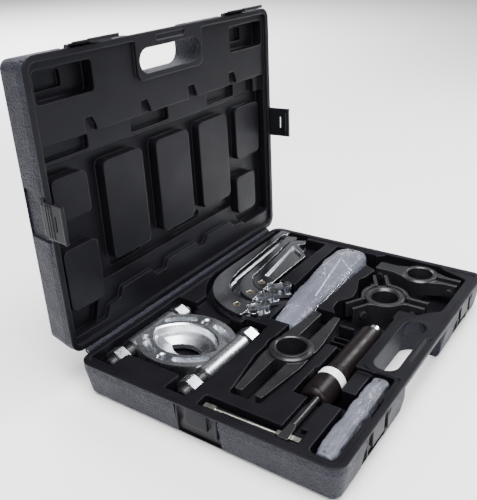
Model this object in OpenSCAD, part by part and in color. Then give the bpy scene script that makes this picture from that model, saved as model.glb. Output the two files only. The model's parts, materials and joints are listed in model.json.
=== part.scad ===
// Hydraulic puller and bearing separator kit in its open blow-moulded carrying case.
// Millimetres, +Z up. The origin is the middle of the underside of the case's base.
// X runs along the hinge, Y from the handle side to the hinge side.
// Inside the modules, places are measured from the base's front left lower corner,
// and from_corner() moves them to the origin.

/* [Case] */
// Width of the case along the hinge
case_w = 560; // [540:1:580]
// Depth of the case from handle side to hinge side
case_d = 428; // [424:1:434]
// Height of each half of the case
half_h = 58.8; // [56:0.2:62]
// Radius of the case's corners seen from above
corner_r = 20; // [14:1:26]
// Thickness of the moulded walls
wall = 2.6; // [2:0.1:3.5]
// How far the side walls lean in from the rim to the foot
draft = 7; // [3:0.5:10]
// Width of the flat rim band
rim_w = 9; // [7:0.5:12]
// Opening angle of the lid as it stands
open_angle = 90.5; // [60:0.5:110]

/* [Handles] */
// Length of each handle opening
handle_l = 144; // [120:1:160]
// Width of each handle opening
handle_w = 36; // [30:1:40]
// Distance of the handle opening's middle from the front edge
handle_y = 40; // [36:1:44]

/* [Latches] */
// Width of a latch flap
latch_w = 54; // [50:1:60]
// Reach of a latch flap past its hinge pin
latch_l = 45; // [38:1:48]
// How far the two front latches stand open
front_latch_tilt = 9; // [3:1:60]
// How far the two side latches stand open
side_latch_tilt = 4; // [3:1:60]

/* [Bearing separator] */
// Middle of the bearing separator
separator_at = [132, 330]; // [132]
// Radius of the outer edge of each half
separator_r = 92; // [88:0.5:94]
// Radius of the wedge opening at the top
wedge_r = 63; // [56:0.5:64]
// Radius of the knife edge at the bottom
knife_r = 37; // [34:0.5:48]
// Thickness of the separator
separator_t = 34; // [28:0.5:35]
// Distance of each stud from the middle
stud_y = 69; // [68:0.5:70]
// Radius of the studs
stud_r = 10.5; // [8:0.25:11]

/* [Yokes] */
// Middle of the bridge yoke's ring
bridge_at = [194, 178]; // [194]
// Length of the bridge yoke
bridge_l = 236; // [220:1:238]
// Radius of the bridge yoke's bore
bridge_bore_r = 23; // [20:0.5:24]
// Middle of the three-arm yoke's ring
triple_at = [412, 122]; // [412]
// Radius of the three-arm yoke's bore
triple_bore_r = 22.5; // [20:0.5:24]
// Middle of the two-arm yoke's ring
double_at = [515, 99]; // [515]
// Radius of the two-arm yoke's bore
double_bore_r = 22; // [20:0.5:24]

/* [Hydraulic ram] */
// Distance of the ram's axis from the front of the case
ram_y = 98.5; // [98:0.5:99]
// Height of the ram's axis above the table
ram_z = 41.5; // [41:0.5:42]
// Radius of the ram's threaded body
ram_r = 19; // [17:0.5:19]
// Radius of the pump head
head_r = 22; // [20:0.5:22]
// Radius of the piston rod
rod_r = 11; // [9:0.5:11.5]

/* [Hidden] */
$fn = 48;

mirror_gap = 0.3;                    // half of the gap between the closed rims
hinge_y = case_d + 5.6;
hinge_z = half_h + mirror_gap;
flange_t = 3;
base_deck = half_h - 2.5;
lid_deck = half_h - 5.5;
draft_z = half_h - 13;               // the walls are upright above this height
hinge_r = 5;
hinge_pin_r = 1.6;
knuckle_l = 34;
knuckles = 15;
hinge_x = (case_w - knuckles * knuckle_l) / 2;
run_gap = 0.05;                      // radial clearance of every running fit
latch_pin_r = 1.5;
latch_drop = 7;                      // latch pin's distance behind the lid's rim
recess_t = 3.2;                      // depth of the recesses behind the latches
tray_inset = recess_t + wall + 0.3;  // the tray hangs clear of the shell's inner side
handle_draft = 8;                    // how far the handle opening widens down to the foot
bar_bottom = half_h - 20;            // underside of the handle bar
front_latch_x = [107, 456];
side_latch_y = 211;
plastic = "#2d2c30";
textured_plastic = "#4b4c55";
zinc = "#c9ccd0";
black_steel = "#1d1d20";
ram_brown = "#3a3032";

jaw_top = 60;
jaw_low = 36;
separator_z = 22;
stud_z = separator_z + separator_t / 2;
boss_r = 17.6;
boss_l = 50;
nut_t = 19;
nut_r = 19.5;
stud_x0 = 34;
stud_x1 = 222;

// ---------------------------------------------------------------- placing

module from_corner() { translate([-case_w / 2, -case_d / 2, 0]) children(); }

// A lid piece is drawn as if the lid lay on its back, rim up, hinge side at the back.
module on_lid() {
    from_corner()
    translate([0, hinge_y, hinge_z]) rotate([-open_angle, 0, 0]) translate([0, -hinge_y, -hinge_z])
    translate([0, 0, 2 * hinge_z]) mirror([0, 0, 1]) children();
}

// ---------------------------------------------------------------- shared shapes

module box2(x0, y0, x1, y1, r = 3) {
    translate([x0 + r, y0 + r]) offset(r = r) square([x1 - x0 - 2 * r, y1 - y0 - 2 * r]);
}

module round_all(r) { offset(r = -r) offset(r = 2 * r) offset(r = -r) children(); }

module case_outline(inset) {
    box2(inset, inset, case_w - inset, case_d - inset, max(corner_r - inset, 4));
}

module case_slab(inset, z, t) { translate([0, 0, z]) linear_extrude(t) case_outline(inset); }

// Solid of one case half, pushed in by gap all round and underneath.
module half_solid(gap, top) {
    hull() {
        case_slab(gap, draft_z, top - draft_z);
        case_slab(draft + gap, 6 + gap * 0.9, 0.1);
        case_slab(draft + 4.5 + gap * 0.8, gap, 0.1);
    }
}

// Stadium of the handle opening, stretched forward by extra and widened by grow.
module handle_slot(grow, extra) {
    box2(case_w / 2 - handle_l / 2 - grow, handle_y - handle_w / 2 - grow - extra,
         case_w / 2 + handle_l / 2 + grow, handle_y + handle_w / 2 + grow, handle_w / 2 + grow - 0.01);
}

// Drafted hole that widens from height top down to the foot.
module drafted_slot(grow, extra, top) {
    mid = [case_w / 2, handle_y - extra / 2];
    size = [handle_l / 2 + grow, (handle_w + extra) / 2 + grow];
    translate([mid[0], mid[1], top + 1]) mirror([0, 0, 1])
        linear_extrude(top + 2, slices = 1, scale = [1 + handle_draft / size[0], 1 + handle_draft / size[1]])
            translate(-mid) handle_slot(grow, extra);
}

// Round-bellied profile of the handle bar, seen along X.
module bar_profile(shrink) {
    r = half_h - bar_bottom;
    offset(delta = -shrink) difference() {
        translate([0, bar_bottom]) square([60, half_h]);
        difference() {
            translate([-1, bar_bottom - 1]) square([r + 1, r + 1 - flange_t]);
            translate([r, half_h - flange_t]) scale([1, (r - flange_t) / r]) circle(r = r);
        }
    }
}

// Everything that the handle opening and the finger room under the bar take from a case half.
module handle_void(grow) {
    corner = [18, 11.6];
    front = handle_l / 2 + corner[0];
    drafted_slot(grow, 0, half_h);
    difference() {
        union() {
            drafted_slot(grow, 60, half_h - 0.5);
            translate([0, 0, -1]) linear_extrude(half_h) difference() {
                translate([case_w / 2 - front - grow, -20]) square([2 * (front + grow), corner[1] + 20 + grow]);
                for (s = [-1, 1]) translate([case_w / 2 + s * front, corner[1]])
                    scale([(corner[0] - grow) / corner[0], (corner[1] - grow) / corner[1]])
                        scale([1, corner[1] / corner[0]]) circle(r = corner[0]);
            }
        }
        translate([case_w / 2 - handle_l, 0, 0]) rotate([90, 0, 90]) linear_extrude(2 * handle_l) bar_profile(grow);
    }
}

// Puts its children at each of the four latches, outer wall along X, case on the +Y side.
module latch_places() {
    for (x = front_latch_x) translate([x, 0, 0]) children();
    translate([0, side_latch_y, 0]) rotate([0, 0, -90]) children();
    translate([case_w, side_latch_y, 0]) rotate([0, 0, 90]) children();
}

// Drafted wall with smooth recesses behind the latches and the handle opening's textured sides.
module outer_shell() {
    top = half_h - flange_t;
    difference() {
        union() {
            difference() {
                half_solid(0, top);
                difference() {
                    half_solid(wall, top + 1);
                    handle_void(wall);
                }
            }
            intersection() {
                difference() {
                    half_solid(wall - 0.3, top);
                    half_solid(recess_t + wall, top + 1);
                }
                latch_places() translate([-42, -5, 1]) cube([84, 30, top - 1]);
            }
        }
        difference() {
            latch_places() translate([-36, -5, 4]) cube([72, 25, top]);
            half_solid(recess_t, top + 2);
        }
        handle_void(0);
    }
}

// Room that the tray's pockets may take inside the shell.
module tray_room(depth) {
    difference() {
        half_solid(tray_inset + depth, half_h + 1);
        handle_void(wall + 0.3 + depth);
    }
}

// Inner tray: a rim flange, a deck at height deck_z, pocket skins and the hollows in them.
module tray(deck_z) {
    difference() {
        union() {
            case_slab(0, half_h - flange_t, flange_t);
            intersection() {
                tray_room(0);
                union() {
                    case_slab(tray_inset, deck_z - flange_t, half_h - deck_z);
                    children(0);
                }
            }
        }
        intersection() {
            tray_room(wall);
            children(1);
        }
        translate([0, 0, deck_z]) linear_extrude(20) round_all(5) difference() {
            case_outline(rim_w);
            box2(case_w / 2 - 78, -20, case_w / 2 + 78, 67, 12);
        }
        translate([0, 0, half_h - 2]) linear_extrude(5) box2(case_w / 2 - 32, 6.5, case_w / 2 + 36, 14.5, 3.9);
        drafted_slot(0, 0, half_h);
    }
}

// Skin round a pocket: the pocket's outline grown by the wall, from under its floor to the deck.
module skin(floor_z, deck_z) {
    translate([0, 0, floor_z - wall]) linear_extrude(deck_z - floor_z) offset(delta = wall) children();
}

module hollow(floor_z) { translate([0, 0, floor_z]) linear_extrude(half_h) children(); }

// ---------------------------------------------------------------- base pockets

module separator_pocket() {
    round_all(3) union() {
        box2(20, 378, 228, 422);
        box2(54, 238, 214, 410, 8);
        box2(20, 240, 84, 280);
        box2(170, 240, 228, 282);
    }
}

module step_pocket() { box2(200, 304, 262, 382, 4); }

module jaw_pocket() {
    round_all(4) difference() {
        union() {
            intersection() {
                translate([342, 300]) circle(r = 119);
                box2(222, 286, 345, 418, 6);
            }
            box2(330, 300, 556, 418, 6);
            box2(236, 262, 366, 340, 4);
        }
        box2(369, 250, 468, 301, 4);
        box2(541, 280, 580, 344, 4);
    }
}

module bag_pocket() {
    round_all(4) polygon([[248, 202], [544, 194], [544, 276], [468, 276], [361, 270], [248, 268]]);
}

module bridge_pocket() {
    round_all(5) union() {
        translate(bridge_at) circle(r = 39);
        polygon([[58, 148], [150, 138], [240, 138], [316, 150], [316, 203], [240, 214], [150, 214], [58, 197]]);
        rib_pocket();
    }
}

// Ribbed corner between the bridge yoke and the ram.
module rib_pocket() { box2(230, 110, 284, 150, 3); }

module ribs() { for (x = [242, 256, 270]) translate([x, 105]) square([2, 40]); }

module ram_pocket() {
    round_all(2) union() {
        box2(104, 73, 172, 124, 3);
        box2(160, 77, 322, 120, 3);
        box2(106, 50, 146, 80, 3);
        box2(138, 50, 200, 80, 3);
    }
}

module yoke_pocket() {
    round_all(5) polygon([
        [288, 112], [288, 148], [310, 163], [330, 178], [352, 180], [376, 165], [400, 168], [438, 182],
        [452, 177], [486, 172], [494, 190], [500, 196], [538, 196], [552, 178], [554, 78], [545, 62],
        [535, 34], [529, 22], [412, 22], [404, 24], [390, 39], [374, 52], [374, 82], [322, 82], [318, 112]
    ]);
}

module lever_pocket() {
    union() {
        box2(16, 78, 112, 101, 3);
        box2(24, 68, 46, 92, 3);
    }
}

module bar_pocket() {
    union() {
        box2(19, 67, 38, 220, 3);
        box2(15, 180, 38, 220, 3);
    }
}

module rods_pocket() {
    union() {
        box2(15, 16, 201, 52, 8);
        box2(108, 12, 152, 30, 4);
    }
}

module base_outer_shell() {
    color(textured_plastic) from_corner() difference() {
        union() {
            outer_shell();
            for (k = [0:2:knuckles - 1]) knuckle(hinge_x + k * knuckle_l);
            latch_places() catch_pad();
        }
        hinge_bores();
        latch_places() translate([-26, 1.6, 20]) cube([52, 4, 10]);
    }
}

// Raised pad in a latch recess, above a slot: the flap's rib snaps under it.
module catch_pad() {
    translate([-18, 0.2, 30]) cube([36, 5.4, half_h - flange_t - 30]);
    for (x = [-34, 31]) translate([x, 0.6, 24]) cube([3, 5, half_h - flange_t - 24]);
}

// One hinge knuckle on a short arm that grows out of the shell's back wall.
module knuckle(x) {
    translate([x + 0.25, hinge_y, hinge_z]) rotate([0, 90, 0]) cylinder(r = hinge_r, h = knuckle_l - 0.5);
    translate([x + 0.25, case_d - 1.5, hinge_z - 4.9]) cube([knuckle_l - 0.5, hinge_y - case_d + 1.5, 1.5]);
}

module hinge_bores() {
    translate([hinge_x - 1, hinge_y, hinge_z]) rotate([0, 90, 0])
        cylinder(r = hinge_pin_r + run_gap, h = knuckles * knuckle_l + 2);
}

module base_inner_tray() {
    color(plastic) from_corner() tray(base_deck) {
        union() {
            skin(20, base_deck) separator_pocket();
            skin(46, base_deck) step_pocket();
            skin(34, base_deck) jaw_pocket();
            skin(22, base_deck) bag_pocket();
            skin(26, base_deck) bridge_pocket();
            skin(17.5, base_deck) ram_pocket();
            skin(14, base_deck) yoke_pocket();
            skin(47, base_deck) lever_pocket();
            skin(42, base_deck) bar_pocket();
            skin(27, base_deck) rods_pocket();
        }
        union() {
            hollow(20) separator_pocket();
            hollow(46) step_pocket();
            hollow(34) jaw_pocket();
            hollow(22) bag_pocket();
            hollow(26) difference() { bridge_pocket(); intersection() { ribs(); rib_pocket(); } }
            hollow(44) bridge_pocket();
            hollow(17.5) difference() { ram_pocket(); ram_shelf(); }
            hollow(50) ram_pocket();
            hollow(14) difference() { yoke_pocket(); ram_step(); }
            hollow(28) ram_step();
            hollow(47) lever_pocket();
            hollow(42) bar_pocket();
            hollow(27) rods_pocket();
        }
    }
}

// Shelf beside the ram's pump head.
module ram_shelf() { box2(148, 40, 200, 74, 3); }

// Low step in front of the ram, over which its piston runs out.
module ram_step() { box2(300, 78, 348, 120, 3); }

// ---------------------------------------------------------------- lid pockets

pad_boxes = [                        // x0, y0, x1, y1 and depth below the rim of each raised pad
    [114, 164, 197, 320, 5.5], [230, 164, 312, 319, 5.5], [343, 164, 426, 319, 8],
    [17, 164, 81, 227, 5.5], [458, 165, 534, 262, 12], [444, 292, 504, 366, 5.5], [17, 269, 83, 367, 5.5]
];

module pad_outline(p, grow) { box2(p[0] - grow, p[1] - grow, p[2] + grow, p[3] + grow, 10); }

module lid_groove() {
    difference() {
        round_all(4) polygon([
            [13, 146], [546, 146], [546, 392], [464, 392], [452, 383], [428, 383], [412, 370], [345, 370],
            [336, 383], [314, 383], [310, 369], [233, 370], [225, 384], [199, 384], [190, 370], [121, 371],
            [114, 386], [89, 389], [80, 407], [13, 407]
        ]);
        for (p = pad_boxes) pad_outline(p, 0);
    }
}

module lid_ledge() {
    intersection() {
        lid_groove();
        polygon([[83, 346], [430, 344], [443, 372], [470, 400], [60, 420]]);
    }
}

module lid_windows() {
    for (x0 = [16, 442]) box2(x0, 20, x0 + 102, 63, 6);
}

module lid_window_steps() {
    for (x0 = [16, 442]) box2(x0 + 8, 27, x0 + 62, 50, 5);
}

module lid_band() {
    round_all(2.5) union() {
        box2(13, 117, 546, 146.5, 3);
        for (x = [91, 205, 320, 435]) polygon([[x, 96], [x + 15, 96], [x + 22, 110], [x + 22, 122], [x, 122]]);
    }
}

module lid_band_pockets() {
    for (b = [[16, 99], [186, 274], [376, 456]]) box2(b[0], 119, b[1], 140, 4);
    box2(459, 120, 522, 152, 6);
}

module lid_slots() {
    box2(116, 322, 186, 335, 5);
    box2(272, 322, 344, 335, 5);
}

module lid_outer_shell() {
    color(textured_plastic) on_lid() difference() {
        union() {
            outer_shell();
            for (k = [1:2:knuckles - 2]) knuckle(hinge_x + k * knuckle_l);
            latch_places() latch_lugs();
        }
        hinge_bores();
        latch_places() latch_axis() translate([-latch_w, 0, 0]) rotate([0, 90, 0])
            cylinder(r = latch_pin_r + run_gap, h = 2 * latch_w);
    }
}

module latch_axis() { translate([0, -0.5, half_h - latch_drop]) children(); }

module latch_lugs() {
    latch_axis() for (s = [-1, 1]) translate([s * 26 - 2.75, 0, 0]) {
        rotate([0, 90, 0]) cylinder(r = 3.2, h = 5.5);
        translate([0, 0, -3.2]) cube([5.5, 6, 6.4]);
    }
}

module lid_inner_tray() {
    color(plastic) on_lid() tray(lid_deck) {
        union() {
            skin(35, lid_deck) lid_groove();
            skin(33, lid_deck) lid_windows();
            skin(26, lid_deck) lid_window_steps();
            skin(46, lid_deck) lid_band();
            skin(37, lid_deck) lid_band_pockets();
            skin(31, lid_deck) lid_slots();
            for (p = pad_boxes) skin(half_h - p[4] - 0.5, lid_deck) pad_outline(p, 1);
        }
        union() {
            hollow(35) difference() { lid_groove(); lid_ledge(); }
            hollow(45) lid_ledge();
            hollow(31) lid_slots();
            hollow(33) lid_windows();
            hollow(26) lid_window_steps();
            hollow(46) lid_band();
            hollow(37) lid_band_pockets();
            for (p = pad_boxes) hollow(half_h - p[4]) pad_outline(p, 1);
        }
    }
}

// ---------------------------------------------------------------- hinge and latches

module hinge_pin() {
    color(zinc) from_corner() translate([hinge_x + 1, hinge_y, hinge_z]) rotate([0, 90, 0])
        cylinder(r = hinge_pin_r, h = knuckles * knuckle_l - 2);
}

// Latch flap: its pin lies along X through the origin, the case is on the +Y side
// and the flap points along +Z, over the other half of the case.
module flap() {
    difference() {
        union() {
            translate([-23, 0, 0]) rotate([0, 90, 0]) cylinder(r = 3.4, h = 46);
            translate([-23, -3.4, 0]) cube([46, 3, 8]);
            translate([-latch_w / 2, -3.4, 5]) cube([latch_w, 3, latch_l - 5]);
            translate([-latch_w / 2, -5.4, latch_l - 3]) cube([latch_w, 2.2, 3]);
            for (z = [8, 13, 18]) translate([-latch_w / 2 + 3, -4.6, z]) cube([latch_w - 6, 1.4, 2.2]);
            translate([-18, -0.5, 37.4]) cube([36, 1.5, 2]);
        }
        translate([-24, 0, 0]) rotate([0, 90, 0]) cylinder(r = latch_pin_r + run_gap, h = 48);
        translate([-11, -10, 26]) cube([22, 20, 2.6]);
    }
}

module latch_front_left() {
    color(plastic) on_lid() translate([front_latch_x[0], 0, 0]) latch_axis() rotate([front_latch_tilt, 0, 0]) flap();
}

module latch_front_right() {
    color(plastic) on_lid() translate([front_latch_x[1], 0, 0]) latch_axis() rotate([front_latch_tilt, 0, 0]) flap();
}

module latch_side_left() {
    color(plastic) on_lid() translate([0, side_latch_y, 0]) rotate([0, 0, -90]) latch_axis()
        rotate([side_latch_tilt, 0, 0]) flap();
}

module latch_side_right() {
    color(plastic) on_lid() translate([case_w, side_latch_y, 0]) rotate([0, 0, 90]) latch_axis()
        rotate([side_latch_tilt, 0, 0]) flap();
}

module latch_pins() {
    color(zinc) on_lid() latch_places() latch_axis() translate([-28, 0, 0]) rotate([0, 90, 0])
        cylinder(r = latch_pin_r, h = 56);
}

// ---------------------------------------------------------------- bearing separator

module at_separator() { from_corner() translate([separator_at[0], separator_at[1], 0]) children(); }

// Left half: the arcs of the outer edge, the wedge and the slots share one middle.
module separator_half() {
    shift = 22;
    t = separator_t;
    difference() {
        union() {
            translate([0, 0, separator_z]) linear_extrude(t) intersection() {
                translate([shift, 0]) circle(r = separator_r, $fn = 96);
                translate([-80, -stud_y - 2]) square([79.85, 2 * stud_y + 4]);
            }
            for (s = [-1, 1]) translate([-boss_l, s * stud_y, stud_z]) rotate([0, 90, 0])
                cylinder(r = boss_r, h = boss_l - 0.15);
        }
        translate([shift, 0, separator_z]) {
            rotate_extrude($fn = 96) polygon([
                [0, 8], [knife_r, 8], [knife_r, 12], [wedge_r - 12, t - 15], [wedge_r - 4, t - 12],
                [wedge_r - 1, t - 2], [wedge_r + 1.5, t + 0.1], [0, t + 0.1]
            ]);
            translate([0, 0, -1]) cylinder(r = knife_r, h = 14, $fn = 96);
            translate([0, 0, -0.01]) cylinder(r1 = knife_r + 5, r2 = knife_r, h = 4, $fn = 96);
            for (a = [147, 213]) translate([0, 0, t - 10]) linear_extrude(11) kidney(76.5, 11, a, 17);
        }
        translate([-55.5, 0, separator_z + t - 24]) cylinder(r = 7, h = 25);
        translate([-55.5, 0, separator_z + t - 2]) cylinder(r1 = 7, r2 = 9, h = 2.01);
        for (s = [-1, 1]) translate([-boss_l - 10, s * stud_y, stud_z]) rotate([0, 90, 0])
            cylinder(r = stud_r + run_gap, h = boss_l + 12);
    }
}

// Curved slot of width w on radius r, reaching half degrees to each side of angle a.
module kidney(r, w, a, half) {
    rotate(a) {
        intersection() {
            difference() { circle(r = r + w / 2, $fn = 96); circle(r = r - w / 2, $fn = 96); }
            polygon([[0, 0], [200, -200 * tan(half)], [200, 200 * tan(half)]]);
        }
        for (s = [-1, 1]) rotate(s * half) translate([r, 0]) circle(d = w);
    }
}

module separator_half_left() { color(zinc) at_separator() separator_half(); }

module separator_half_right() { color(zinc) at_separator() mirror([1, 0, 0]) separator_half(); }

module separator_studs() {
    color(black_steel) from_corner() for (s = [-1, 1])
        translate([stud_x0, separator_at[1] + s * stud_y, stud_z]) rotate([0, 90, 0])
            cylinder(r = stud_r, h = stud_x1 - stud_x0);
}

module stud_nut(x, side) {
    color(zinc) from_corner() translate([x, separator_at[1] + side * stud_y, stud_z]) rotate([0, 90, 0])
    difference() {
        intersection() {
            cylinder(r = nut_r, h = nut_t, $fn = 6);
            cylinder(r = nut_r - 0.7, h = nut_t, $fn = 60);
        }
        translate([0, 0, -1]) cylinder(r = stud_r + run_gap, h = nut_t + 2);
    }
}

module nut_front_left() { stud_nut(45, -1); }
module nut_back_left() { stud_nut(45, 1); }
module nut_front_right() { stud_nut(190, -1); }
module nut_back_right() { stud_nut(190, 1); }

// ---------------------------------------------------------------- jaws

// Rolled section: a wider flange above and below a waist.
module jaw_section() {
    t = (jaw_top - jaw_low) / 3;
    translate([0, 0, jaw_low]) linear_extrude(t) children();
    translate([0, 0, jaw_low + t - 0.01]) linear_extrude(t + 0.02) offset(r = -3) children();
    translate([0, 0, jaw_top - t]) linear_extrude(t) children();
}

module jaw_outer_outline() {
    round_all(2.5) difference() {
        union() {
            intersection() { translate([342, 292]) circle(r = 113, $fn = 96); box2(228, 292, 342, 410, 2); }
            polygon([
                [318, 402], [342, 405.5], [537, 405], [547.5, 407], [547.5, 386], [536, 384],
                [533, 393], [350, 381], [318, 376]
            ]);
        }
        translate([342, 308]) circle(r = 70, $fn = 96);
        polygon([[278, 330], [342, 378], [342, 290], [277, 290]]);
    }
}

module jaw_middle_outline() {
    round_all(2) difference() {
        union() {
            intersection() { translate([344, 296]) circle(r = 64, $fn = 96); box2(280, 303, 345, 366, 2); }
            polygon([
                [330, 358.5], [344, 360], [516, 378], [528, 381], [534, 362], [523, 358],
                [512, 366], [344, 347], [330, 344]
            ]);
        }
        translate([351, 312]) circle(r = 33, $fn = 96);
        polygon([[316, 296], [316, 320], [328, 336], [345, 347], [345, 296]]);
    }
}

module jaw_inner_outline() {
    round_all(2) polygon([
        [320, 306], [320, 322], [331, 335], [348, 342], [502, 361], [514, 364], [528, 338], [514, 332],
        [503, 341], [474, 312], [468, 306], [362, 305]
    ]);
}

module eye(p) { translate([p[0], p[1], jaw_low + 7.5]) cylinder(r = 9, h = 9); }

outer_eye = [259, 288];
middle_eye = [300, 297];
inner_eye = [339, 299];
link_step = 25;                      // distance between the two bolts of a link
link_turns = [-24, -28, -52];        // direction each link points in
outer_hole = [254, 317];
middle_hole = [298, 320];
inner_hole = [338, 322];

module jaw_holes(p, e) {
    translate([p[0], p[1], jaw_low - 1]) cylinder(r = 6.2, h = 40);
    translate([e[0], e[1], jaw_low - 1]) cylinder(r = 4.05, h = 40);
    translate([e[0], e[1], jaw_low - 1]) cylinder(r = 10.5, h = 8.5);
    translate([e[0], e[1], jaw_top - 7.5]) cylinder(r = 10.5, h = 20);
}

module jaw_outer() {
    color(zinc) from_corner() difference() {
        union() { jaw_section() jaw_outer_outline(); eye(outer_eye); eye_web(outer_eye); }
        jaw_holes(outer_hole, outer_eye);
    }
}

module eye_web(e) { translate([e[0] - 8, e[1], jaw_low + 7.5]) cube([16, 14, 9]); }

module jaw_middle() {
    color(zinc) from_corner() difference() {
        union() { jaw_section() jaw_middle_outline(); eye(middle_eye); eye_web(middle_eye); }
        jaw_holes(middle_hole, middle_eye);
    }
}

module jaw_inner() {
    color(zinc) from_corner() difference() {
        union() { jaw_section() jaw_inner_outline(); eye(inner_eye); eye_web(inner_eye); }
        jaw_holes(inner_hole, inner_eye);
        translate([0, 0, jaw_top - 5]) linear_extrude(10) round_all(1.5)
            polygon([[362, 311], [362, 330], [494, 349], [470, 318], [462, 311]]);
    }
}

module bush(p) {
    color("#b09a6c") from_corner() translate([p[0], p[1], jaw_low + 0.5]) difference() {
        cylinder(r = 6.2, h = jaw_top - jaw_low - 0.7);
        translate([0, 0, -1]) cylinder(r = 3.6, h = 40);
    }
}

module jaw_outer_bush() { bush(outer_hole); }
module jaw_middle_bush() { bush(middle_hole); }
module jaw_inner_bush() { bush(inner_hole); }

// A pair of straps above and below the jaw's eye.
module link(e, turn) {
    color(zinc) from_corner() translate([e[0], e[1], 0]) rotate(turn) for (z = [jaw_low + 1.3, jaw_top - 7.3])
        translate([0, 0, z]) difference() {
            linear_extrude(6) union() {
                circle(r = 8.5);
                translate([link_step, 0]) circle(r = 7.5);
                translate([0, -7]) square([link_step, 14]);
            }
            translate([0, 0, -1]) cylinder(r = 4.05, h = 8);
            translate([link_step, 0, -1]) cylinder(r = 4.05, h = 8);
        }
}

module link_outer() { link(outer_eye, link_turns[0]); }
module link_middle() { link(middle_eye, link_turns[1]); }
module link_inner() { link(inner_eye, link_turns[2]); }

// The far bolt of a link, with its hexagon head under the lower strap.
module link_bolt(e, turn) {
    color(zinc) from_corner() translate([e[0], e[1], 0]) rotate(turn) translate([link_step, 0, jaw_low + 1.3]) {
        cylinder(r = 4, h = 21.8);
        translate([0, 0, 6]) difference() { cylinder(r = 6, h = 9.4); translate([0, 0, -1]) cylinder(r = 3.9, h = 12); }
    }
}

module link_bolt_outer() { link_bolt(outer_eye, link_turns[0]); }
module link_bolt_middle() { link_bolt(middle_eye, link_turns[1]); }
module link_bolt_inner() { link_bolt(inner_eye, link_turns[2]); }

module link_nut(e, turn) {
    color(black_steel) from_corner() translate([e[0], e[1], 0]) rotate(turn) translate([link_step, 0, jaw_top - 1.3])
        difference() {
            cylinder(r = 7.2, h = 3.2, $fn = 6);
            translate([0, 0, -1]) cylinder(r = 4.05, h = 6);
        }
}

module link_nut_outer() { link_nut(outer_eye, link_turns[0]); }
module link_nut_middle() { link_nut(middle_eye, link_turns[1]); }
module link_nut_inner() { link_nut(inner_eye, link_turns[2]); }

// ---------------------------------------------------------------- yokes

module bridge_yoke() {
    half = bridge_l / 2;
    color(black_steel) from_corner() translate([bridge_at[0], bridge_at[1], 0]) difference() {
        union() {
            translate([0, 0, 28]) linear_extrude(23) round_all(2.5) difference() {
                polygon([
                    [-half, -22], [-34, -33], [34, -33], [half, -22],
                    [half, 22], [34, 33], [-34, 33], [-half, 22]
                ]);
                for (s = [-1, 1]) translate([s * (half / 2 + 24) - half / 2 + 3, -10.5]) square([half - 6, 21]);
            }
            translate([0, 0, 28]) cylinder(r = 34, h = 27, $fn = 72);
            translate([0, 0, 54.9]) cylinder(r1 = 34, r2 = 31.5, h = 2.1, $fn = 72);
            translate([0, 0, 56.9]) cylinder(r = 29, h = 3.1, $fn = 72);
        }
        translate([0, 0, 20]) cylinder(r = bridge_bore_r, h = 50, $fn = 72);
        translate([0, 0, 58.5]) cylinder(r1 = bridge_bore_r, r2 = bridge_bore_r + 2.5, h = 2, $fn = 72);
    }
}

arm_turns = [30, 150, 270];

module at_triple() { from_corner() translate([triple_at[0], triple_at[1], 0]) children(); }

module triple_yoke_ring() {
    color(black_steel) at_triple() difference() {
        union() {
            translate([0, 0, 26]) cylinder(r = 33.9, h = 26, $fn = 72);
            translate([0, 0, 51.9]) cylinder(r1 = 33.9, r2 = 31.5, h = 2.1, $fn = 72);
        }
        translate([0, 0, 20]) cylinder(r = triple_bore_r, h = 40, $fn = 72);
        translate([0, 0, 50]) cylinder(r1 = triple_bore_r, r2 = triple_bore_r + 4, h = 4.1, $fn = 72);
    }
}

module triple_yoke_straps() {
    color(black_steel) at_triple() translate([0, 0, 29]) difference() {
        linear_extrude(26) difference() {
            offset(r = -12) offset(r = 12) union() {
                circle(r = 39, $fn = 72);
                for (a = arm_turns) rotate(a) translate([30, -12.5]) square([42, 25]);
            }
            circle(r = 34, $fn = 72);
            for (a = arm_turns) rotate(a) offset(r = -4) offset(r = 4) union() {
                translate([28, -7.5]) square([60, 15]);
                translate([24, -15]) square([10, 30]);
            }
        }
        for (a = arm_turns) rotate(a) translate([54, 20, 10]) rotate([90, 0, 0]) cylinder(r = 4.05, h = 40);
    }
}

// Cross bolt through a pair of straps, head on the +Y side.
module cross_bolt(reach, head_y) {
    rotate([90, 0, 0]) translate([0, 0, -head_y]) {
        cylinder(r = 4, h = reach);
        translate([0, 0, -5]) cylinder(r = 7.2, h = 5, $fn = 6);
    }
}

module cross_nut(y) {
    rotate([90, 0, 0]) translate([0, 0, y]) difference() {
        cylinder(r = 7.2, h = 5, $fn = 6);
        translate([0, 0, -1]) cylinder(r = 4.05, h = 8);
    }
}

module triple_yoke_bolts() {
    color(black_steel) at_triple() for (a = arm_turns) rotate(a) translate([54, 0, 39]) cross_bolt(31.5, 12.6);
}

module triple_yoke_nuts() {
    color(zinc) at_triple() for (a = arm_turns) rotate(a) translate([54, 0, 39]) cross_nut(12.6);
}

module at_double() { from_corner() translate([double_at[0], double_at[1], 0]) children(); }

double_reach = [69, 79];             // length of the front arm and of the back arm

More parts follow.
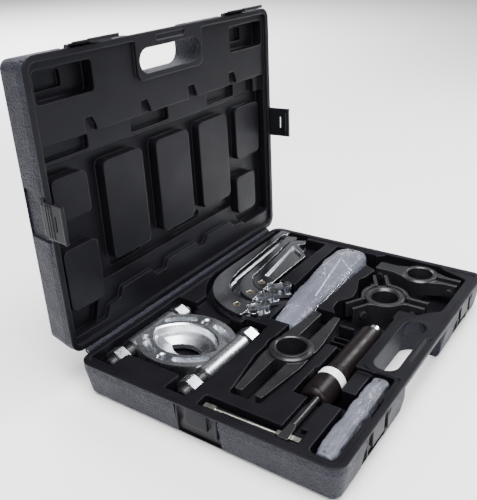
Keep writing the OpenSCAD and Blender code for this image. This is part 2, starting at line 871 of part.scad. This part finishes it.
module double_yoke() {
    color(black_steel) at_double() difference() {
        union() {
            translate([0, 0, 28]) cylinder(r = 32, h = 25, $fn = 72);
            translate([0, 0, 52.9]) cylinder(r1 = 32, r2 = 29, h = 3.1, $fn = 72);
            translate([0, 0, 28]) linear_extrude(25) round_all(2) union() {
                circle(r = 32, $fn = 72);
                translate([-13.5, -double_reach[0]]) square([27, double_reach[0] + double_reach[1]]);
                polygon([[-30, 0], [-13.5, -46], [13.5, -46], [30, 0], [13.5, 46], [-13.5, 46]]);
            }
        }
        translate([0, 0, 20]) cylinder(r = double_bore_r, h = 40, $fn = 72);
        translate([0, 0, 54.5]) cylinder(r1 = double_bore_r, r2 = double_bore_r + 2, h = 1.6, $fn = 72);
        translate([-7, -double_reach[0] - 1, 20]) cube([14, 27, 40]);
        translate([-7, -double_reach[0] + 25, 44]) cube([14, 14, 20]);
        translate([-7, double_reach[1] - 22, 20]) cube([14, 30, 26]);
        for (y = [-double_reach[0] + 10, double_reach[1] - 10]) translate([-20, y, 39]) rotate([0, 90, 0])
            cylinder(r = 4.05, h = 40);
    }
}

module double_yoke_bolts() {
    color(black_steel) at_double() for (y = [-double_reach[0] + 10, double_reach[1] - 10])
        translate([0, y, 39]) rotate(90) cross_bolt(33, 13.6);
}

module double_yoke_nuts() {
    color(zinc) at_double() for (y = [-double_reach[0] + 10, double_reach[1] - 10])
        translate([0, y, 39]) rotate(90) cross_nut(13.6);
}

// ---------------------------------------------------------------- hydraulic ram

head_x = 112;
neck_x = 157;
body_x = 178;
body_end = 300;
rod_end = 302;
ram_bore_r = 15;
piston_t = 14;
spring_turns = 6;

module on_ram(x) { from_corner() translate([x, ram_y, ram_z]) rotate([0, 90, 0]) children(); }

module ram_pump_head() {
    color(ram_brown) on_ram(head_x) difference() {
        rotate_extrude($fn = 72) polygon(concat(
            [[0, 0], [head_r - 8, 0]],
            [for (a = [-75:15:0]) [head_r - 8 + 8 * cos(a), 8 + 8 * sin(a)]],
            [
                [head_r, neck_x - head_x], [ram_r - 1.5, neck_x - head_x],
                [ram_r - 1.5, body_x - head_x - 0.1], [0, body_x - head_x - 0.1]]
        ));
        translate([0, 0, 24]) cylinder(r = 9, h = body_x - head_x);
    }
}

module ram_label_band() {
    color("white") on_ram(neck_x + 0.1) difference() {
        cylinder(r = head_r - 0.4, h = 15.4, $fn = 72);
        translate([0, 0, -1]) cylinder(r = ram_r - 1.5, h = 30, $fn = 72);
    }
}

module ram_body() {
    color(ram_brown) on_ram(body_x) difference() {
        cylinder(r = ram_r, h = body_end - body_x, $fn = 72);
        for (k = [0:2]) translate([0, 0, 1.5 + k * 3]) difference() {
            cylinder(r = ram_r + 1, h = 1.5, $fn = 72);
            translate([0, 0, -1]) cylinder(r = ram_r - 1.2, h = 4, $fn = 72);
        }
        translate([0, 0, 6]) cylinder(r = ram_bore_r, h = 200, $fn = 72);
    }
}

module ram_gland() {
    color(black_steel) on_ram(body_end - 9) difference() {
        cylinder(r = ram_bore_r - 0.1, h = 8, $fn = 72);
        translate([0, 0, -1]) cylinder(r = rod_r + run_gap, h = 20, $fn = 72);
    }
}

module ram_piston() {
    color("#d9dbde") on_ram(body_x + 8) difference() {
        union() {
            cylinder(r = ram_bore_r - run_gap, h = piston_t, $fn = 72);
            cylinder(r = rod_r, h = rod_end - body_x - 8, $fn = 72);
        }
        translate([0, 0, 5]) difference() {
            cylinder(r = ram_bore_r + 1, h = 4, $fn = 72);
            translate([0, 0, -1]) cylinder(r = ram_bore_r - 2.5, h = 6, $fn = 72);
        }
    }
}

module ram_seal() {
    color("black") on_ram(body_x + 13.1) difference() {
        cylinder(r = ram_bore_r - run_gap, h = 3.8, $fn = 72);
        translate([0, 0, -1]) cylinder(r = ram_bore_r - 2.45, h = 6, $fn = 72);
    }
}

// Return spring, drawn as far as the piston squeezes it at full stroke.
module ram_spring() {
    wire = 1;
    coil_r = (ram_bore_r + rod_r) / 2;
    pitch = 4;
    sides = 8;
    per_turn = 16;
    count = spring_turns * per_turn;
    color("#9a9da2") on_ram(body_end - 11 - spring_turns * pitch) polyhedron(
        points = [for (i = [0:count], k = [0:sides - 1])
            let(a = i * 360 / per_turn, b = k * 360 / sides, r = coil_r + wire * cos(b))
            [r * cos(a), r * sin(a), i * pitch / per_turn + wire * sin(b)]],
        faces = concat(
            [[for (k = [0:sides - 1]) k]],
            [for (i = [0:count - 1], k = [0:sides - 1])
                [i * sides + k, (i + 1) * sides + k, (i + 1) * sides + (k + 1) % sides, i * sides + (k + 1) % sides]],
            [[for (k = [sides - 1:-1:0]) count * sides + k]]
        )
    );
}

module ram_centre_tip() {
    color("#d9dbde") on_ram(rod_end) rotate_extrude($fn = 72) polygon([
        [0, 0], [11, 0], [11, 6], [9.2, 7], [9.2, 9], [11, 10], [11, 17.5], [9, 20], [0, 20]
    ]);
}

// ---------------------------------------------------------------- loose rods and wrapped pieces

module pump_lever() {
    color(black_steel) from_corner() union() {
        translate([46, 89.5, 54]) rotate([0, 90, 0]) cylinder(r = 4.6, h = 63);
        translate([0, 0, 51.8]) linear_extrude(4.6) round_all(1)
            polygon([[18, 82.5], [18, 97], [30, 96], [42, 94], [52, 92], [52, 87], [42, 85], [30, 83.5]]);
    }
}

module lever_bar() {
    color("#d8d2c4") from_corner() translate([28.6, 143, 47]) rotate(2) {
        translate([0, -72, 0]) rotate([-90, 0, 0]) cylinder(r = 2.8, h = 144);
        translate([-4.2, -72, -3.6]) cube([8.4, 34, 7.2]);
        translate([-4.2, 54, -3.6]) cube([8.4, 18, 7.2]);
    }
}

module wrapped_rods() {
    color("#b9bcc2", 0.7) from_corner() translate([18, 34, 44]) rotate([0, 90, 0]) cylinder(r = 15.5, h = 180);
}

module wrapped_jaws() {
    color("#b9bcc2", 0.7) from_corner() hull() {
        translate([258, 210, 26]) cube([10, 46, 24]);
        translate([440, 202, 24]) cube([96, 66, 44]);
    }
}

base_outer_shell();
base_inner_tray();
lid_outer_shell();
lid_inner_tray();
hinge_pin();
latch_front_left();
latch_front_right();
latch_side_left();
latch_side_right();
latch_pins();
separator_half_left();
separator_half_right();
separator_studs();
nut_front_left();
nut_front_right();
nut_back_left();
nut_back_right();
jaw_outer();
jaw_middle();
jaw_inner();
jaw_outer_bush();
jaw_middle_bush();
jaw_inner_bush();
link_outer();
link_middle();
link_inner();
link_bolt_outer();
link_bolt_middle();
link_bolt_inner();
link_nut_outer();
link_nut_middle();
link_nut_inner();
bridge_yoke();
triple_yoke_ring();
triple_yoke_straps();
triple_yoke_bolts();
triple_yoke_nuts();
double_yoke();
double_yoke_bolts();
double_yoke_nuts();
ram_body();
ram_pump_head();
ram_label_band();
ram_gland();
ram_piston();
ram_seal();
ram_spring();
ram_centre_tip();
pump_lever();
lever_bar();
wrapped_rods();
wrapped_jaws();
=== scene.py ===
import json
import math

import bmesh
import bpy
from mathutils import Matrix, Vector, noise


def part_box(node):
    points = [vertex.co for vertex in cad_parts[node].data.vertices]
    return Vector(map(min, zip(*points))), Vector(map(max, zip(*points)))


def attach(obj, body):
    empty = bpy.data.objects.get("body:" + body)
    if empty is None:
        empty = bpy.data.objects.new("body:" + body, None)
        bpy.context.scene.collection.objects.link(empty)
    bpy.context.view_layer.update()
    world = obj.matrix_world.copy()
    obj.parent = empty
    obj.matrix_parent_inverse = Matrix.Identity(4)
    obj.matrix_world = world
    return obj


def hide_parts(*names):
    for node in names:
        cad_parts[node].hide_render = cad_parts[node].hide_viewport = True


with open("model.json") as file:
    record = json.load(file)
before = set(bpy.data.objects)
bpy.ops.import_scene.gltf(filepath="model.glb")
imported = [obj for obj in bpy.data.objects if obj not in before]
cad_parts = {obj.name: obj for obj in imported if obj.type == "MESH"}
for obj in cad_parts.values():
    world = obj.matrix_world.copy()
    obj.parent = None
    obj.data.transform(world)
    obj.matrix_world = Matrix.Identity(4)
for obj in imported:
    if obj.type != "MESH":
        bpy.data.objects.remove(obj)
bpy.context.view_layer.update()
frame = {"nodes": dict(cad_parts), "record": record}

NODES = frame["nodes"]
CASE_W, CASE_D = 0.560, 0.428
HINGE = (280, 433.6, 59.1)           # the hinge pin's middle, in place()'s millimetres
LID_ANGLE = 90.5                     # how far the lid stands open, in degrees
CAD_SHARP, ADDED_SHARP = math.radians(32), math.radians(40)   # edges that turn more than this stay sharp

scene = bpy.context.scene


def place(x, y, z):
    """A point given in millimetres from the base's front left lower corner."""
    return Vector((x / 1000 - CASE_W / 2, y / 1000 - CASE_D / 2, z / 1000))


# ---------------------------------------------------------------- camera, light and floor

def add_camera():
    yaw, pitch, roll = (math.radians(a) for a in (35.3, -25.6, -2.5))
    ahead = math.cos(pitch)
    forward = Vector((math.cos(yaw) * ahead, math.sin(yaw) * ahead, math.sin(pitch)))
    level = Vector((math.sin(yaw), -math.cos(yaw), 0))
    upright = level.cross(forward)
    right = level * math.cos(roll) + upright * math.sin(roll)
    up = upright * math.cos(roll) - level * math.sin(roll)
    data = bpy.data.cameras.new("camera")
    data.lens, data.sensor_width, data.clip_start = 47.66, 36, 0.01
    camera = bpy.data.objects.new("camera", data)
    scene.collection.objects.link(camera)
    camera.matrix_world = Matrix((right, up, -forward)).transposed().to_4x4()
    camera.matrix_world.translation = (-0.8028, -0.4546, 0.6173)
    scene.camera = camera


def add_area_light(name, place_at, aim, size, power, colour=(1, 1, 1)):
    data = bpy.data.lights.new(name, "AREA")
    data.shape, data.size, data.energy, data.color = "SQUARE", size, power, colour
    light = bpy.data.objects.new(name, data)
    scene.collection.objects.link(light)
    light.location = place_at
    light.rotation_euler = (Vector(aim) - Vector(place_at)).to_track_quat("-Z", "Y").to_euler()


FLOOR_GAP = 0.0005                   # keeps the floor clear of the case's underside


def add_floor():
    side = 40
    mesh = bpy.data.meshes.new("floor")
    corners = [(-side, -side, 0), (side, -side, 0), (side, side, 0), (-side, side, 0)]
    mesh.from_pydata(corners, [], [(0, 1, 2, 3)])
    floor = bpy.data.objects.new("floor", mesh)
    floor.location.z = -FLOOR_GAP
    scene.collection.objects.link(floor)
    paper = bpy.data.materials.new("pale_floor")
    paper.use_nodes = True
    shader = paper.node_tree.nodes["Principled BSDF"]
    shader.inputs["Base Color"].default_value = (0.97, 0.97, 0.97, 1)
    shader.inputs["Roughness"].default_value = 0.8
    mesh.materials.append(paper)


def add_world():
    """A bright horizon under a dim ceiling, as in a room with pale walls."""
    world = bpy.data.worlds.new("studio")
    world.use_nodes = True
    tree = world.node_tree
    place_on_sky = tree.nodes.new("ShaderNodeTexCoord")
    parts = tree.nodes.new("ShaderNodeSeparateXYZ")
    height = tree.nodes.new("ShaderNodeMapRange")
    horizon, ceiling = 0.6, 0.1
    for key, value in (("From Min", 0.0), ("From Max", 0.55), ("To Min", horizon), ("To Max", ceiling)):
        height.inputs[key].default_value = value
    tree.links.new(place_on_sky.outputs["Generated"], parts.inputs[0])
    tree.links.new(parts.outputs["Z"], height.inputs["Value"])
    tree.links.new(height.outputs["Result"], tree.nodes["Background"].inputs["Strength"])
    tree.nodes["Background"].inputs["Color"].default_value = (0.96, 0.98, 1, 1)
    scene.world = world


add_camera()
add_world()
add_floor()
add_area_light("overhead", (-0.4, -0.3, 2.0), (0, 0, 0), 1.5, 110)
add_area_light("left", (-1.9, 0.1, 0.8), (0, 0, 0.1), 0.8, 12)
add_area_light("front", (-1.0, -1.5, 1.1), (0, 0, 0.05), 1.0, 22)
add_area_light("right", (1.6, -0.5, 1.4), (0.1, 0, 0.05), 0.7, 34)
add_area_light("far_floor", (1.8, 3.2, 2.6), (2.4, 3.6, 0), 2.5, 420)


# ---------------------------------------------------------------- materials

class Nodes:
    """Short ways to add and join shader nodes of one material."""

    def __init__(self, name):
        self.material = bpy.data.materials.new(name)
        self.material.use_nodes = True
        self.tree = self.material.node_tree
        self.shader = self.tree.nodes["Principled BSDF"]
        self.output = self.tree.nodes["Material Output"]
        self.place = self.add("ShaderNodeTexCoord").outputs["Object"]

    def add(self, kind, **settings):
        node = self.tree.nodes.new(kind)
        for key, value in settings.items():
            setattr(node, key, value)
        return node

    def join(self, source, target):
        self.tree.links.new(source, target)

    def noise(self, scale, detail=3, rough=0.55, stretch=None):
        node = self.add("ShaderNodeTexNoise")
        node.inputs["Scale"].default_value = scale
        node.inputs["Detail"].default_value = detail
        node.inputs["Roughness"].default_value = rough
        self.join(self.stretched(stretch), node.inputs["Vector"])
        return node.outputs["Fac"]

    def stretched(self, stretch):
        if stretch is None:
            return self.place
        mapping = self.add("ShaderNodeMapping")
        mapping.inputs["Scale"].default_value = stretch
        self.join(self.place, mapping.inputs["Vector"])
        return mapping.outputs["Vector"]

    def spread(self, source, low, high, start=0.3, stop=0.7):
        node = self.add("ShaderNodeMapRange")
        for key, value in (("From Min", start), ("From Max", stop), ("To Min", low), ("To Max", high)):
            node.inputs[key].default_value = value
        self.join(source, node.inputs["Value"])
        return node.outputs["Result"]

    def maths(self, operation, a, b=0.5):
        node = self.add("ShaderNodeMath", operation=operation)
        for socket, value in zip(node.inputs, (a, b)):
            if isinstance(value, (int, float)):
                socket.default_value = value
            else:
                self.join(value, socket)
        return node.outputs[0]

    def mix(self, factor, a, b):
        node = self.add("ShaderNodeMix", data_type="RGBA")
        self.join(factor, node.inputs["Factor"])
        for socket, value in ((node.inputs[6], a), (node.inputs[7], b)):
            if isinstance(value, tuple):
                socket.default_value = (*value, 1)
            else:
                self.join(value, socket)
        return node.outputs[2]

    def soft_edges(self, radius):
        """A normal rounded over every edge, and how much it turns there: 0 on flats, 1 on sharp edges."""
        bevel = self.add("ShaderNodeBevel", samples=8)
        bevel.inputs["Radius"].default_value = radius
        flat = self.add("ShaderNodeNewGeometry")
        dot = self.add("ShaderNodeVectorMath", operation="DOT_PRODUCT")
        self.join(bevel.outputs["Normal"], dot.inputs[0])
        self.join(flat.outputs["Normal"], dot.inputs[1])
        edge = self.spread(dot.outputs["Value"], 1, 0, 0.75, 0.97)
        return bevel.outputs["Normal"], edge

    def bump(self, height, strength, distance, normal=None):
        node = self.add("ShaderNodeBump")
        node.inputs["Strength"].default_value = strength
        node.inputs["Distance"].default_value = distance
        self.join(height, node.inputs["Height"])
        if normal is not None:
            self.join(normal, node.inputs["Normal"])
        return node.outputs["Normal"]

    def finish(self, colour, rough, normal=None, metallic=0.0, specular=0.5, coat=0.0, shine=(1, 1, 1)):
        for key, value in (("Base Color", colour), ("Roughness", rough), ("Normal", normal)):
            if value is None:
                continue
            if isinstance(value, tuple):
                self.shader.inputs[key].default_value = (*value, 1)
            elif isinstance(value, (int, float)):
                self.shader.inputs[key].default_value = value
            else:
                self.join(value, self.shader.inputs[key])
        self.shader.inputs["Metallic"].default_value = metallic
        self.shader.inputs["Specular IOR Level"].default_value = specular
        self.shader.inputs["Specular Tint"].default_value = (*shine, 1)
        self.shader.inputs["Coat Weight"].default_value = coat
        self.shader.inputs["Coat Roughness"].default_value = 0.2
        return self.material


def pebbled_plastic():
    """Blow-moulded polyethylene with a leather-like pebble, with painted sheen on the pebbles' tops, painted
    shade in their hollows and a painted highlight on the edges.
    """
    n = Nodes("case_texture")
    normal, edge = n.soft_edges(0.0015)
    cells = n.add("ShaderNodeTexVoronoi", feature="SMOOTH_F1")
    cells.inputs["Scale"].default_value = 360
    n.join(n.place, cells.inputs["Vector"])
    pebble = n.maths("ADD", n.spread(cells.outputs["Distance"], 1, 0, 0.1, 0.75), n.noise(480))
    tint = n.mix(n.spread(n.noise(9), 0, 1), (0.006, 0.006, 0.0095), (0.01, 0.0101, 0.015))
    # painted sheen and shade: the pebbles' tops are painted paler and the hollows between them darker
    tint = n.mix(n.spread(pebble, 0, 0.8, 0.7, 1.5), tint, (0.028, 0.029, 0.04))
    # painted highlight: the edges are painted paler
    tint = n.mix(n.maths("MULTIPLY", edge, 0.5), tint, (0.04, 0.041, 0.052))
    gloss = n.spread(n.noise(40), 0.44, 0.56)
    return n.finish(tint, gloss, n.bump(pebble, 0.9, 0.0016, normal), specular=0.21, shine=(0.82, 0.86, 1.0))


def smooth_plastic(name, colour, rough=0.42):
    """Satin moulded plastic with a faint flow mottling and a painted highlight on its edges."""
    n = Nodes(name)
    normal, edge = n.soft_edges(0.003)
    dark = tuple(c * 0.82 for c in colour)
    pale = tuple(c * 1.25 for c in colour)
    tint = n.mix(n.spread(n.noise(14, 5), 0, 1), dark, pale)
    # painted highlight: the edges are painted up to four times brighter than the base colour
    tint = n.mix(n.maths("MULTIPLY", edge, 0.45), tint, tuple(c * 4 for c in colour))
    height = n.maths("ADD", n.noise(38, 2), n.maths("MULTIPLY", n.noise(700, 2), 0.12))
    gloss = n.spread(n.noise(22, 4), rough - 0.06, rough + 0.08)
    return n.finish(tint, gloss, n.bump(height, 0.1, 0.001, normal), specular=0.16, shine=(0.84, 0.86, 1.0))


def plated_steel(name, colour, rough=0.22, mottle=0.12):
    """Zinc plated or polished steel with a cloudy plating."""
    n = Nodes(name)
    cloud = n.spread(n.noise(40, 2, 0.5), 0, 1)
    dull = tuple(c * (1 - mottle) for c in colour)
    tint = n.mix(cloud, dull, colour)
    gloss = n.spread(n.noise(60, 1), rough - 0.03, rough + 0.04)
    return n.finish(tint, gloss, metallic=1.0)


def forged_steel():
    """Drop-forged jaw: darker rough faces, edges ground bright."""
    n = Nodes("jaw_steel")
    normal, edge = n.soft_edges(0.0009)
    pits = n.noise(1100, 3, 0.6)
    tint = n.mix(n.spread(n.noise(45, 4), 0, 1), (0.44, 0.447, 0.475), (0.52, 0.53, 0.56))
    tint = n.mix(n.maths("MULTIPLY", edge, 0.9), tint, (0.93, 0.94, 0.96))
    grain = n.bump(n.noise(150, 2), 0.03, 0.0002, normal)
    return n.finish(tint, n.spread(pits, 0.16, 0.26), grain, metallic=1.0)


def black_oxide(name, colour=(0.007, 0.007, 0.008), rough=0.3):
    """Oiled black steel with lightly rubbed edges."""
    n = Nodes(name)
    normal, edge = n.soft_edges(0.0012)
    grain = n.noise(600, 3)
    tint = n.mix(n.spread(n.noise(35, 4), 0, 1), colour, tuple(c * 1.8 for c in colour))
    tint = n.mix(n.maths("MULTIPLY", edge, 0.6), tint, (0.07, 0.07, 0.073))
    gloss = n.spread(grain, rough - 0.05, rough + 0.1)
    return n.finish(tint, gloss, n.bump(n.noise(160, 3), 0.08, 0.0003, normal), specular=0.5, coat=0.1)


def painted_metal(name, colour, rough=0.3):
    n = Nodes(name)
    normal, edge = n.soft_edges(0.0008)
    dark = tuple(c * 0.75 for c in colour)
    pale = tuple(c * 1.3 for c in colour)
    tint = n.mix(n.spread(n.noise(30, 4), 0, 1), dark, pale)
    tint = n.mix(n.maths("MULTIPLY", edge, 0.4), tint, (0.09, 0.075, 0.075))
    gloss = n.spread(n.noise(80), rough - 0.05, rough + 0.1)
    return n.finish(tint, gloss, n.bump(n.noise(700, 2), 0.05, 0.0001, normal), specular=0.15)


def paper_label():
    n = Nodes("label_white")
    fibre = n.noise(600, 4)
    tint = n.mix(n.spread(fibre, 0, 1), (0.8, 0.81, 0.84), (0.92, 0.92, 0.93))
    return n.finish(tint, 0.38, n.bump(n.noise(25, 3), 0.1, 0.001), coat=0.3)


def clear_film():
    """Creased polyethylene film, slightly milky, with painted white highlights along its folds."""
    n = Nodes("film")
    folds = n.noise(24, 3, 0.5, (0.5, 1.5, 1.5))
    ridge = n.maths("ABSOLUTE", n.maths("SUBTRACT", folds, 0.5))
    # painted highlight: thin white lines painted along the fold ridges
    painted_fold_highlight = n.spread(ridge, 1, 0, 0.0, 0.012)
    second = n.maths("ABSOLUTE", n.maths("SUBTRACT", n.noise(60, 3, 0.5, (1.4, 0.8, 0.8)), 0.5))
    painted_fold_highlight = n.maths("MAXIMUM", painted_fold_highlight, n.maths("MULTIPLY", n.spread(second, 1, 0, 0.0, 0.01), 0.5))
    painted_fold_highlight = n.maths("MULTIPLY", painted_fold_highlight, n.spread(n.noise(16, 2), 0, 0.6, 0.5, 0.66))
    normal = n.bump(n.maths("ADD", folds, n.maths("MULTIPLY", second, 0.5)), 0.8, 0.006)
    # the film tone is mixed towards white along the painted highlight lines
    milky = n.mix(painted_fold_highlight, (0.19, 0.197, 0.245), (0.8, 0.81, 0.86))
    n.finish(milky, n.spread(n.noise(30), 0.2, 0.36), normal, specular=0.45)
    clear = n.add("ShaderNodeBsdfTransparent")
    clear.inputs["Color"].default_value = (0.9, 0.91, 0.95, 1)
    blend = n.add("ShaderNodeMixShader")
    # the film is also less clear along the painted highlight lines
    cover = n.maths("ADD", n.spread(n.noise(20, 3), 0.38, 0.56), n.maths("MULTIPLY", painted_fold_highlight, 0.35))
    n.join(cover, blend.inputs["Fac"])
    n.join(clear.outputs[0], blend.inputs[1])
    n.join(n.shader.outputs[0], blend.inputs[2])
    n.join(blend.outputs[0], n.output.inputs["Surface"])
    return n.material


MATERIALS = {
    "case_texture": pebbled_plastic(),
    "case_smooth": smooth_plastic("case_smooth", (0.0036, 0.0034, 0.0046)),
    "latch_plastic": smooth_plastic("latch_plastic", (0.0055, 0.0055, 0.0065), 0.3),
    "pin_steel": plated_steel("pin_steel", (0.5, 0.51, 0.53), 0.35),
    "zinc_steel": plated_steel("zinc_steel", (0.74, 0.76, 0.8), 0.27),
    "jaw_steel": forged_steel(),
    "black_steel": black_oxide("black_steel"),
    "bush_steel": plated_steel("bush_steel", (0.5, 0.44, 0.34), 0.4),
    "ram_paint": painted_metal("ram_paint", (0.006, 0.0042, 0.0046), 0.34),
    "label_white": paper_label(),
    "rod_steel": plated_steel("rod_steel", (0.78, 0.79, 0.81), 0.25, mottle=0.1),
    "spring_steel": plated_steel("spring_steel", (0.5, 0.51, 0.53), 0.3),
    "seal_rubber": smooth_plastic("seal_rubber", (0.005, 0.005, 0.005), 0.6),
    "bar_steel": plated_steel("bar_steel", (0.62, 0.6, 0.54), 0.3),
    "film": clear_film(),
}


def dress_cad_nodes():
    for entry in frame["record"]["subparts"]:
        mesh = NODES[entry["node"]].data
        mesh.materials.clear()
        mesh.materials.append(MATERIALS[entry["material_slot"]])
        mesh.shade_smooth()
        mesh.set_sharp_from_angle(angle=CAD_SHARP)


LATCH_RECESSES = (                   # corners in one case half, in millimetres: x, y and z ranges
    ((70, -6, 3), (144, 13, 60)), ((419, -6, 3), (493, 13, 60)),
    ((-6, 174, 3), (13, 248, 60)), ((547, 174, 3), (566, 248, 60)),
)


def smooth_the_latch_recesses():
    """The moulded recesses behind the latches are smooth; the pebble stops at their edges."""
    hinge = place(*HINGE)
    open_lid = Matrix.Translation(hinge) @ Matrix.Rotation(math.radians(LID_ANGLE), 4, "X")
    open_lid = open_lid @ Matrix.Diagonal((1, 1, -1, 1)) @ Matrix.Translation(-hinge)
    for node, to_half in (("base_outer_shell", Matrix.Identity(4)), ("lid_outer_shell", open_lid)):
        mesh = NODES[node].data
        mesh.materials.append(MATERIALS["case_smooth"])
        for face in mesh.polygons:
            p = (to_half @ face.center - place(0, 0, 0)) * 1000
            inside = any(all(a[k] < p[k] < b[k] for k in range(3)) for a, b in LATCH_RECESSES)
            if inside:
                face.material_index = 1


dress_cad_nodes()
smooth_the_latch_recesses()


# ---------------------------------------------------------------- mesh helpers

def add_piece(name, mesh, body, slot, replaced=()):
    piece = bpy.data.objects.new(name, mesh)
    scene.collection.objects.link(piece)
    mesh.materials.clear()
    mesh.materials.append(MATERIALS[slot])
    mesh.shade_smooth()
    mesh.set_sharp_from_angle(angle=ADDED_SHARP)
    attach(piece, body)
    if replaced:
        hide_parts(*replaced)
    return piece


def skin_rings(name, rings):
    """Closed skin over a list of rings of points, each end closed with a fan."""
    count = len(rings[0])
    points = [p for ring in rings for p in ring]
    faces = []
    for i in range(len(rings) - 1):
        for k in range(count):
            a, b = i * count + k, i * count + (k + 1) % count
            faces.append((a, b, b + count, a + count))
    for ring, first in ((rings[0], 0), (rings[-1], (len(rings) - 1) * count)):
        centre = sum(ring, Vector()) / count
        points.append(centre)
        hub = len(points) - 1
        for k in range(count):
            a, b = first + k, first + (k + 1) % count
            faces.append((hub, b, a) if first == 0 else (hub, a, b))
    mesh = bpy.data.meshes.new(name)
    mesh.from_pydata(points, [], faces)
    mesh.update()
    work = bmesh.new()
    work.from_mesh(mesh)
    bmesh.ops.recalc_face_normals(work, faces=work.faces)
    work.to_mesh(mesh)
    work.free()
    return mesh


# ---------------------------------------------------------------- threads

def thread_rings(start, length, radius, pitch, depth, chamfer, sides=40, steps=8):
    """Rings of a screw thread along +X, chamfered at both ends."""
    rings = []
    count = round(length / pitch * steps)
    for i in range(count + 1):
        x = length * i / count
        taper = max(0.0, chamfer - min(x, length - x))
        ring = []
        for k in range(sides):
            angle = 2 * math.pi * k / sides
            phase = (x / pitch - k / sides) % 1
            r = radius - depth * abs(2 * phase - 1) - taper
            ring.append(start + Vector((x, r * math.cos(angle), r * math.sin(angle))))
        rings.append(ring)
    return rings


def add_studs():
    low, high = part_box("separator_studs")
    radius = (high.z - low.z) / 2
    middle_z = (high.z + low.z) / 2
    meshes = []
    for y in (low.y + radius, high.y - radius):
        start = Vector((low.x, y, middle_z))
        rings = thread_rings(start, high.x - low.x, radius, pitch=0.002, depth=0.0009, chamfer=0.0018)
        meshes.append(skin_rings("stud", rings))
    work = bmesh.new()
    for mesh in meshes:
        work.from_mesh(mesh)
    joined = bpy.data.meshes.new("threaded_studs")
    work.to_mesh(joined)
    work.free()
    add_piece("threaded_studs", joined, "separator", "black_steel", ["separator_studs"])


add_studs()


# ---------------------------------------------------------------- film bundles

RING_STEP = 2.2                      # millimetres between rings of the film
FILM_SQUARENESS = 3.2                # 2 is an ellipse, more is squarer
CREASE_SCALE = 46                    # creases per metre, roughly
DEEPEST_CREASE = 1.5                 # in parts of a crease's usual depth


def film_shell(name, stations, seed=0.0, sides=72, creases=0.0021):
    """Film drawn tight over a bundle.

    Stations along X are (x, y, z, half width, half height) in millimetres.
    """
    rings = []
    for i in range(len(stations) - 1):
        a, b = stations[i], stations[i + 1]
        steps = max(2, round((b[0] - a[0]) / RING_STEP))
        for s in range(steps + (i == len(stations) - 2)):
            t = s / steps
            x, y, z, wide, high = (a[k] + (b[k] - a[k]) * t for k in range(5))
            ring = []
            for k in range(sides):
                angle = 2 * math.pi * k / sides
                c, d = math.cos(angle), math.sin(angle)
                flat = (abs(c) ** FILM_SQUARENESS + abs(d) ** FILM_SQUARENESS) ** (-1 / FILM_SQUARENESS)
                point = place(x, y + wide * c * flat, z + high * d * flat)
                rough = point * CREASE_SCALE + Vector((seed, 0, 0))
                rough.x *= 0.8
                fold = noise.ridged_multi_fractal(rough, 0.9, 2.1, 3, 1.0, 2.0)
                inward = Vector((0, -c, -d)) * creases * min(fold, DEEPEST_CREASE)
                ring.append(point + inward)
            rings.append(ring)
    return skin_rings(name, rings)


def add_wrapped_jaws():
    stations = [
        (259, 232, 37, 15, 7), (262, 232, 37.5, 22, 11), (280, 232, 39, 24, 13),
        (335, 235, 41, 28, 15), (372, 234.5, 43, 31, 18), (420, 234, 45, 32, 20),
        (474, 235, 47, 36, 22.5), (516, 235, 47, 34, 22), (534, 236, 46, 27, 18),
        (541, 238, 43, 14, 11),
    ]
    shell = film_shell("film_round_jaws", stations)
    add_piece("film_round_jaws", shell, "wrapped_jaws", "film", ["wrapped_jaws"])
    for name, source, shift, turn in (
        ("wrapped_jaw_lower", "jaw_inner", (0.002, -0.1, -0.008), -0.03),
        ("wrapped_jaw_upper", "jaw_inner", (-0.002, -0.098, 0.0), -0.1),
    ):
        mesh = NODES[source].data.copy()
        mesh.name = name
        pivot = Matrix.Translation(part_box(source)[0])
        flat = Matrix.Diagonal((1, 0.86, 0.42, 1))
        tilt = Matrix.Rotation(turn, 4, "Y")
        mesh.transform(Matrix.Translation(shift) @ pivot @ tilt @ flat @ pivot.inverted())
        add_piece(name, mesh, "wrapped_jaws", "jaw_steel")


BUNDLE_YZ = (34, 44)                 # the rod bundle's axis, in millimetres
ROD_R, ROD_RING_R = 5.6, 6.6         # each rod's radius and its distance from that axis


def add_wrapped_rods():
    low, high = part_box("wrapped_rods")
    x0, x1 = (low.x + CASE_W / 2) * 1000, (high.x + CASE_W / 2) * 1000
    radii = (
        (x0 + 0.3, 6), (x0 + 2, 12), (x0 + 12, 14.6), (x0 + 60, 15),
        (x1 - 40, 14.8), (x1 - 8, 14.4), (x1 - 1, 11), (x1 - 0.3, 5),
    )
    stations = [(x, *BUNDLE_YZ, r, r) for x, r in radii]
    shell = film_shell("film_round_rods", stations, seed=7.0)
    add_piece("film_round_rods", shell, "wrapped_rods", "film", ["wrapped_rods"])
    for k in range(3):
        angle = math.radians(90 + 120 * k)
        y = BUNDLE_YZ[0] + ROD_RING_R * math.cos(angle)
        z = BUNDLE_YZ[1] + ROD_RING_R * math.sin(angle)
        length = (x1 - x0 - 12) / 1000
        rings = thread_rings(
            place(x0 + 5, y, z), length, ROD_R / 1000,
            pitch=0.002, depth=0.0006, chamfer=0.001, sides=28, steps=5,
        )
        add_piece(f"wrapped_rod_{k + 1}", skin_rings("rod", rings), "wrapped_rods", "black_steel")


add_wrapped_jaws()
add_wrapped_rods()
